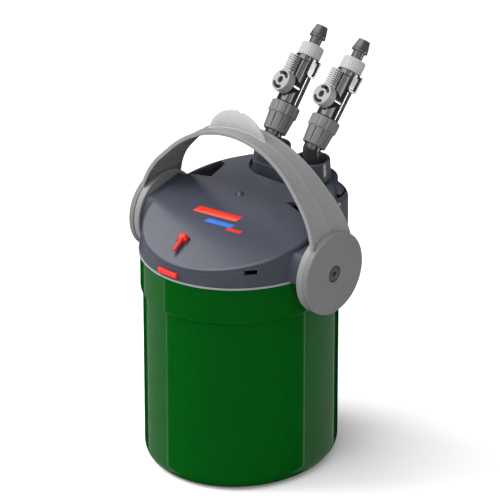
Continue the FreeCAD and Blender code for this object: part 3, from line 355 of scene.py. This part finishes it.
PIVOT = Vector((0, 4.2, 200))
BOW_HALF, CROWN, BOW_TOP, SHOULDER, ARM_TOP = 101.2, 100.0, 102.7, 70.0, 13.5
BOW_THICK, WIDE_ARM, WIDE_CROWN, WIDE_FROM = 3.8, 24.3, 13.0, 31.0
DISC, FOOT_IN, FOOT_OUT, BORE = 36.9, 90.6, 97.0, 5.55
RIM, WEB, RECESS = 1.8, 1.0, 0.45
RIB_HALF, RIB_COUNT, RIB_START = 0.7, 41, 42
FIN_X, FIN_LEVEL, FIN_RADIUS, FIN_THICK = -6.9, 84.3, 34.7, 2.2
FIN_HALF, FIN_FLARE, FIN_SUNK, FIN_LEAST = 33.4, 0.4, 1.5, 0.8
NICK_X, NICK_HALF, NICK_DEEP = 2.5, 1.8, 1.1
RIM_SLOPE, LINE_HALF, LINE_HIGH = 0.8, 0.6, 0.45
DISC_GAP, ROOT_DEEP, LAP = 0.35, 1.5, 0.3
BAND_ROWS, FIN_ROWS, FOOT_STEPS = 150, 72, 96
PLAIN, PEBBLED = 0, 1


def in_handle(x, depth, up):
    """A point given from the handle's pivot line, in metres in the row frame."""
    return (Vector((x, depth, up)) + PIVOT) * MM


class Arch:
    """The bow's outer line: arm, shoulder, slope and crown, by length from the pivot."""

    def __init__(self):
        self.side = BOW_HALF - SHOULDER
        self.middle = BOW_TOP - CROWN
        rise = ARM_TOP - self.middle
        span = math.hypot(self.side, rise)
        self.turn = math.atan2(rise, self.side) + math.acos((CROWN - SHOULDER) / span)
        self.slope = math.sqrt(span ** 2 - (CROWN - SHOULDER) ** 2)
        self.lengths = (ARM_TOP, SHOULDER * self.turn, self.slope,
                        CROWN * (math.pi / 2 - self.turn))
        self.total = sum(self.lengths)

    def at(self, length):
        """The point (x, up) and the outward direction at a length along the right half."""
        arm, shoulder, slope, _ = self.lengths
        if length <= arm:
            return Vector((BOW_HALF, length)), Vector((1, 0))
        if length <= arm + shoulder:
            angle = (length - arm) / SHOULDER
            out = Vector((math.cos(angle), math.sin(angle)))
            return Vector((self.side, ARM_TOP)) + out * SHOULDER, out
        out = Vector((math.cos(self.turn), math.sin(self.turn)))
        if length <= arm + shoulder + slope:
            along = Vector((-out.y, out.x)) * (length - arm - shoulder)
            return Vector((self.side, ARM_TOP)) + out * SHOULDER + along, out
        angle = self.turn + (length - arm - shoulder - slope) / CROWN
        out = Vector((math.cos(angle), math.sin(angle)))
        return Vector((0, self.middle)) + out * CROWN, out

    def place(self, length):
        """As at, over the whole bow: lengths past the crown run down the left half."""
        if length <= self.total:
            return self.at(length)
        point, out = self.at(2 * self.total - length)
        return Vector((-point.x, point.y)), Vector((-out.x, out.y))

    def foot(self, depth, radius):
        """The length at which the bow meets a disc of this radius, at a depth off its middle."""
        up = math.sqrt(max(radius ** 2 - depth ** 2, 0))
        if up <= ARM_TOP:
            return up
        return ARM_TOP + SHOULDER * math.asin((up - ARM_TOP) / SHOULDER)


arch = Arch()


def half_width(up):
    share = min(max((up - WIDE_FROM) / (BOW_TOP - WIDE_FROM), 0), 1)
    return WIDE_ARM + (WIDE_CROWN - WIDE_ARM) * share


def channel_outline():
    """The band's section as (share of the half width, inset, height) corners."""
    outer = [(-1, 0, 0), (-1, RIM, 0), (-1, RIM + RIM_SLOPE, -RECESS), (0, -LINE_HALF, -RECESS),
             (0, 0, -RECESS + LINE_HIGH), (0, LINE_HALF, -RECESS),
             (1, -RIM - RIM_SLOPE, -RECESS), (1, -RIM, 0), (1, 0, 0)]
    inner = [(1, 0, -BOW_THICK), (1, -RIM, -BOW_THICK), (1, -RIM, -RECESS - WEB),
             (-1, RIM, -RECESS - WEB), (-1, RIM, -BOW_THICK), (-1, 0, -BOW_THICK)]
    return outer + inner


def section_points(half):
    corners = [(share * half + inset, height) for share, inset, height in channel_outline()]
    return round_corners(corners, 0.55, 3)


def make_handle():
    points, faces, looks = [], [], []

    def add(new_points, new_faces, look):
        first = len(points)
        points.extend(new_points)
        faces.extend(tuple(first + index for index in face) for face in new_faces)
        looks.extend([look] * len(new_faces))

    arm_section = section_points(WIDE_ARM)
    band = []
    for row in range(BAND_ROWS):
        share = row / (BAND_ROWS - 1)
        for column, (depth, inward) in enumerate(arm_section):
            start = arch.foot(depth, DISC + DISC_GAP)
            point, out = arch.place(start)
            if (point + out * inward).x < FOOT_OUT:
                start = arch.foot(depth, DISC - ROOT_DEEP)
            length = start + (2 * arch.total - 2 * start) * share
            point, out = arch.place(length)
            width, height = section_points(half_width(point.y))[column]
            spot = point + out * height
            band.append(in_handle(spot.x, width, spot.y))
    add(band, grid_faces(BAND_ROWS, len(arm_section)), PLAIN)

    for index in range(RIB_COUNT):
        length = RIB_START + 2 * (arch.total - RIB_START) * index / (RIB_COUNT - 1)
        point, out = arch.place(length)
        along = Vector((-out.y, out.x)) * RIB_HALF
        half = half_width(point.y) - RIM + LAP
        top, low = -RECESS - WEB + LAP, -BOW_THICK + 0.2
        rib = [in_handle(spot.x, depth, spot.y)
               for depth, height in ((-half, top), (half, top), (half, low), (-half, low))
               for spot in (point + out * height - along, point + out * height + along)]
        add(rib, [(0, 2, 4, 6), (7, 5, 3, 1), (0, 1, 3, 2), (2, 3, 5, 4), (4, 5, 7, 6),
                  (6, 7, 1, 0)], PLAIN)

    for side in (-1, 1):
        ring = round_corners([(BORE, FOOT_IN), (DISC - 0.4, FOOT_IN), (DISC - 0.4, FOOT_OUT),
                              (BORE, FOOT_OUT)], 0.8, 3)
        foot = [in_handle(side * across, radius * math.cos(2 * math.pi * step / FOOT_STEPS),
                          radius * math.sin(2 * math.pi * step / FOOT_STEPS))
                for step in range(FOOT_STEPS) for radius, across in ring]
        add(foot, ring_faces(FOOT_STEPS, len(ring)), PLAIN)

    fin = []
    for row in range(FIN_ROWS + 1):
        across = FIN_HALF * math.sin(math.pi * (row / FIN_ROWS - 0.5))
        x = FIN_X + across
        top = FIN_LEVEL + math.sqrt(FIN_RADIUS ** 2 - across ** 2)
        top -= NICK_DEEP * math.exp(-((across - NICK_X) / NICK_HALF) ** 4)
        base = arch.middle + math.sqrt(CROWN ** 2 - x ** 2) - FIN_SUNK
        top = max(top, base + FIN_LEAST)
        half = FIN_THICK / 2
        loop = round_corners([(-half - FIN_FLARE, base), (-half, top), (half, top),
                              (half + FIN_FLARE, base)], 0.6, 3)
        fin.extend(in_handle(x, depth, up) for depth, up in loop)
    add(fin, grid_faces(FIN_ROWS + 1, len(fin) // (FIN_ROWS + 1)), PEBBLED)
    piece("handle", points, faces, "handle", "handle_grey", ("handle", "pebble"), looks,
                 ("handle_bow",))


make_handle()


# ---- cover print: plain bars --------------------------------------------------------------

SLOPE = math.radians(12.2)
COVER_MIDDLE = 230.6
PRINT_RISE, PRINT_SHEAR, PRINT_SUNK = 7, 0.3, 0.05


def on_cover(x, y, out=0.0):
    """A point of the slanted cover's face, raised off it by out, in metres."""
    level = COVER_MIDDLE + y * math.tan(SLOPE)
    return Vector((x, y - out * math.sin(SLOPE), level + out * math.cos(SLOPE))) * MM


def make_bar(name, x, y, long, high, look, slot):
    """A slightly raised slanted bar, printed along a line that rises seven degrees."""
    angle = math.radians(PRINT_RISE)
    lean = PRINT_SHEAR * high / 2
    corners = [(-long / 2 - lean, -high / 2), (long / 2 - lean, -high / 2),
               (long / 2 + lean, high / 2), (-long / 2 + lean, high / 2)]
    loop = round_corners(corners, 0.8, 4)
    points = []
    for out, grow in ((-PRINT_SUNK, 1.0), (0.06, 1.0), (0.1, 0.995)):
        for across, up in loop:
            across, up = across * grow, up * grow
            points.append(on_cover(x + across * math.cos(angle) - up * math.sin(angle),
                                   y + across * math.sin(angle) + up * math.cos(angle), out))
    piece(name, points, grid_faces(3, len(loop)), "head", slot, (look,))


make_bar("cover_bar_long", -12.8, -15.7, 45, 8, "red", "red")
make_bar("cover_bar_middle", -1.9, -25.4, 28, 5.2, "blue", None)
make_bar("cover_bar_short", 16.3, -27.7, 15, 3.6, "red", "red")


# Outline of the painted shade beside the vent lever, on the cover's face.
LEVER_SHADE_OUTLINE = [(-16, -49.5), (-8.5, -41), (-6, -47.5), (1, -55.5), (-5.5, -60), (-8.6, -55)]


def make_lever_painted_shade():
    """Painted shade beside the vent lever: a thin black sheet lying flush on the cover."""
    loop = round_corners(LEVER_SHADE_OUTLINE, 1.2, 3)
    points = [on_cover(x, y, out) for out in (-PRINT_SUNK, PRINT_SUNK) for x, y in loop]
    piece("lever_hollow", points, grid_faces(2, len(loop)), "head", None, ("inner",))


make_lever_painted_shade()


# ---- taps: painted shade at the bottoms of the knobs' arc slots -----------------------------

PORT_X, PORT_Y, ELBOW_LEVEL = 22.5, 66.6, 271.3
TAP_LEAN, TAP_SPLAY, TAP_TURN = math.radians(40), math.radians(1.2), math.radians(8)
SHADE_STEPS, SHADE_UNDER, SHADE_OVER = 64, 0.5, 0.6
KNOB_LEVEL, SLOT_FLOOR, SLOT_IN, SLOT_OUT = 44.9, 14.5, 5.05, 8.25


def make_slot_shade(tap, side):
    """A thin black ring set in the knob, seen only at the bottom of its two slots: painted shade.
    """
    turn = (Matrix.Rotation(side * TAP_SPLAY, 3, "Y") @ Matrix.Rotation(-TAP_LEAN, 3, "X")
            @ Matrix.Rotation(-TAP_TURN, 3, "Z"))
    middle = Vector((side * PORT_X, PORT_Y, ELBOW_LEVEL))
    back, front = -SLOT_FLOOR + SHADE_UNDER, -SLOT_FLOOR - SHADE_OVER
    section = round_corners([(SLOT_IN, back), (SLOT_OUT, back), (SLOT_OUT, front),
                             (SLOT_IN, front)], 0.15, 2)
    points = []
    for step in range(SHADE_STEPS):
        angle = 2 * math.pi * step / SHADE_STEPS
        for radius, depth in section:
            spot = Vector((radius * math.cos(angle), depth, KNOB_LEVEL + radius * math.sin(angle)))
            points.append((turn @ spot + middle) * MM)
    piece(f"{tap}_slot_shade", points, ring_faces(SHADE_STEPS, len(section)), f"{tap}_valve", None,
          ("inner",))


make_slot_shade("inlet", -1)
make_slot_shade("outlet", 1)


# ---- stage, light and camera --------------------------------------------------------------

def make_floor():
    half, thick = 6.0, 0.02
    corners = [Vector((x, y, z)) for z in (-thick, 0) for x, y in
               ((-half, -half), (half, -half), (half, half), (-half, half))]
    faces = [(0, 1, 2, 3)[::-1], (4, 5, 6, 7)] + [
        (side, (side + 1) % 4, 4 + (side + 1) % 4, 4 + side) for side in range(4)]
    mesh = bpy.data.meshes.new("floor")
    mesh.from_pydata(corners, [], faces)
    graph = Graph("studio_floor", 0.7, specular=0.1)
    haze = graph.noise(900, 2)
    tone = graph.ramp(haze, (0.3, (0.93, 0.93, 0.93)), (0.7, (0.95, 0.95, 0.95)))
    grain = graph.noise(4, 2)
    mesh.materials.append(graph.finish(tone, graph.spread(grain, 0.65, 0.75),
                                       graph.bump(grain, 0.02, 0.3)))
    floor = bpy.data.objects.new("floor", mesh)
    scene.collection.objects.link(floor)
    floor.visible_glossy = False


def area_light(name, place, aim, wide, high, power, in_gloss=True):
    """A rectangular lamp; in_gloss tells whether reflections show it."""
    lamp = bpy.data.lights.new(name, "AREA")
    lamp.shape = "RECTANGLE"
    lamp.size, lamp.size_y = wide, high
    lamp.energy = power
    holder = bpy.data.objects.new(name, lamp)
    holder.location = place
    holder.rotation_mode = "QUATERNION"
    holder.rotation_quaternion = (Vector(aim) - Vector(place)).to_track_quat("-Z", "Y")
    holder.visible_glossy = in_gloss
    scene.collection.objects.link(holder)


AZIMUTH, ELEVATION, DISTANCE = math.radians(41.617), math.radians(26), 3.3735
LOOK_AT = Vector((0.005735, 0.005095, 0.19096))
SENSOR, LENS = 36.0, 280.9

TO_CAMERA = Vector((math.sin(AZIMUTH) * math.cos(ELEVATION),
                    -math.cos(AZIMUTH) * math.cos(ELEVATION), math.sin(ELEVATION)))
LEVEL = Vector((TO_CAMERA.x, TO_CAMERA.y, 0)).normalized()
RIGHT = Vector((-LEVEL.y, LEVEL.x, 0))


def round_about(angle, distance, level):
    """A place at an angle to the right of the camera's own direction, round the object."""
    turn = math.radians(angle)
    return LEVEL * math.cos(turn) * distance + RIGHT * math.sin(turn) * distance + Vector(
        (0, 0, level))


MIDDLE = Vector((0, 0, 0.18))
COVER_AIM, TAP_AIM = Vector((-0.08, -0.21, 0.21)), Vector((0, 0.1, 0.3))
WORLD_LIGHT = 0.28
CARD_DISTANCE, CARD_LEVEL, CARD_HIGH = 1.7, -0.72, 2.0

# The cards stand so low that only the canister's upright walls reflect them. The narrow ones
# draw the bright lines along both sides of each stripe.
STRIPE_CARDS = (("left_card", -117, 1.35, 2.0), ("right_card", 113, 1.6, 2.2),
                ("left_inner", -93, 0.05, 0.3), ("left_outer", -141, 0.05, 0.3),
                ("right_inner", 84, 0.05, 0.3), ("right_outer", 142, 0.05, 0.3))


def make_lights():
    area_light("top_softbox", round_about(-70, 1.1, 2.6), MIDDLE, 2.6, 2.6, 74)
    area_light("left_wall", round_about(-102, 1.8, 1.2), MIDDLE, 1.5, 2.2, 58, False)
    area_light("right_wall", round_about(94, 1.8, 1.2), MIDDLE, 1.3, 2.2, 8, False)
    area_light("front_fill", round_about(-14, 2.6, 2.1), MIDDLE, 2.4, 1.3, 16)
    for name, angle, wide, power in STRIPE_CARDS:
        area_light(name, round_about(angle, CARD_DISTANCE, CARD_LEVEL), MIDDLE, wide, CARD_HIGH,
                   power)
    area_light("cover_card", (-0.58, 0.15, 0.80), COVER_AIM, 0.34, 0.34, 1.1)
    area_light("tap_face", round_about(24, 1.7, 1.05), Vector((0, 0.1, 0.32)), 1.0, 0.7, 7)
    area_light("tap_strip", round_about(82, 1.6, -0.12), TAP_AIM, 0.22, 0.45, 5)
    world = bpy.data.worlds.new("studio")
    world.use_nodes = True
    world.node_tree.nodes["Background"].inputs["Color"].default_value = (1, 1, 1, 1)
    world.node_tree.nodes["Background"].inputs["Strength"].default_value = WORLD_LIGHT
    world.cycles_visibility.glossy = False
    scene.world = world


def make_camera():
    lens = bpy.data.cameras.new("camera")
    lens.sensor_width, lens.lens = SENSOR, LENS
    lens.clip_start, lens.clip_end = 0.1, 30
    camera = bpy.data.objects.new("camera", lens)
    camera.location = LOOK_AT + TO_CAMERA * DISTANCE
    camera.rotation_mode = "QUATERNION"
    camera.rotation_quaternion = (-TO_CAMERA).to_track_quat("-Z", "Y")
    scene.collection.objects.link(camera)
    scene.camera = camera


make_floor()
make_lights()
make_camera()
scene.view_settings.view_transform = "Standard"
